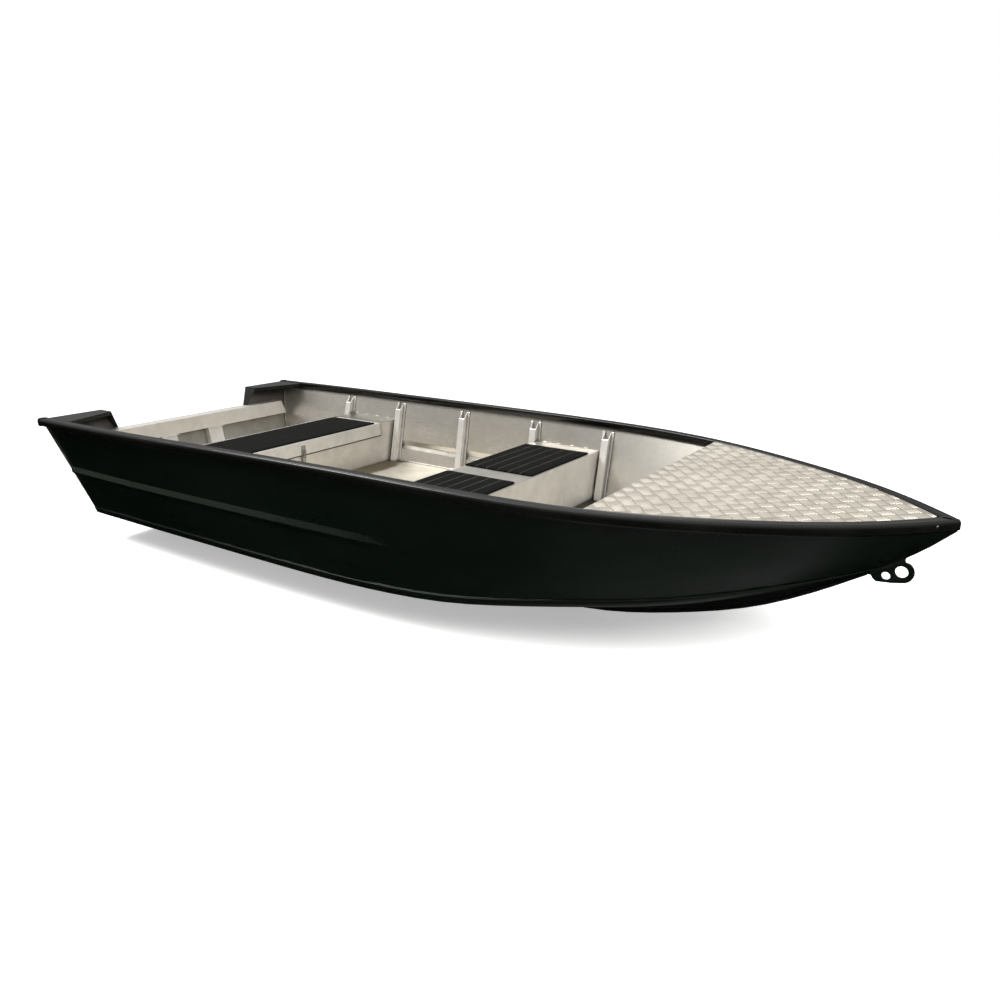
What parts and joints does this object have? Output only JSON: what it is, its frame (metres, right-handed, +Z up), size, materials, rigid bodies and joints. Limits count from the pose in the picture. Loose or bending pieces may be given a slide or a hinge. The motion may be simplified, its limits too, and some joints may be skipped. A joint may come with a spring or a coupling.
{
  "type": "aluminium fishing boat",
  "caption": "Open V-bottomed aluminium fishing boat, painted black outside, bare inside, with two benches, a tread-plate foredeck, a hinged lid on the stern bench and a notched transom.",
  "frame": {"origin": "centre of the bounding box's base, on the floor under the keel", "axes": "+X towards the bow, +Y to port, +Z up"},
  "size_m": [3.7337, 1.5042, 0.6163],
  "materials": {
    "black_paint": "satin black paint on aluminium plate",
    "bare_aluminium": "bare rolled aluminium sheet",
    "tread_plate": "bare aluminium tread plate",
    "foam_pad": "matt closed-cell foam",
    "latch_steel": "bright steel"
  },
  "bodies": {
    "boat": {"bottom_plate_port": "black_paint", "bottom_plate_starboard": "black_paint", "chine_strip_port": "black_paint", "chine_strip_starboard": "black_paint", "corner_plate_port": "black_paint", "corner_plate_starboard": "black_paint", "deck_beam": "bare_aluminium", "floor_plate": "bare_aluminium", "foredeck": "tread_plate", "gunwale_port": "black_paint", "gunwale_starboard": "black_paint", "keel_plank": "black_paint", "keel_strip": "black_paint", "latch_body": "latch_steel", "lid_hinge": "latch_steel", "middle_bench": "bare_aluminium", "middle_pad_port": "foam_pad", "middle_pad_starboard": "foam_pad", "motor_beam": "bare_aluminium", "rib_port_1": "bare_aluminium", "rib_port_2": "bare_aluminium", "rib_port_3": "bare_aluminium", "rib_port_4": "bare_aluminium", "rib_port_5": "bare_aluminium", "rib_starboard_1": "bare_aluminium", "rib_starboard_2": "bare_aluminium", "rib_starboard_3": "bare_aluminium", "rib_starboard_4": "bare_aluminium", "rib_starboard_5": "bare_aluminium", "runner_port": "black_paint", "runner_starboard": "black_paint", "side_plate_port": "black_paint", "side_plate_starboard": "black_paint", "stern_bench": "bare_aluminium", "stern_cap_port": "black_paint", "stern_cap_starboard": "black_paint", "tow_eye": "black_paint", "transom_brace_port": "bare_aluminium", "transom_brace_starboard": "bare_aluminium", "transom_plate": "black_paint"},
    "lid": {"bench_lid": "bare_aluminium", "stern_pad": "foam_pad", "latch_catch": "latch_steel"}
  },
  "joints": [
    {"name": "bench_lid_hinge", "type": "hinge", "parent": "boat", "child": "lid", "pos_m": [-1.227, 0, 0.4823], "axis": [0, -1, 0], "range_deg": [0, 100]}
  ]
}
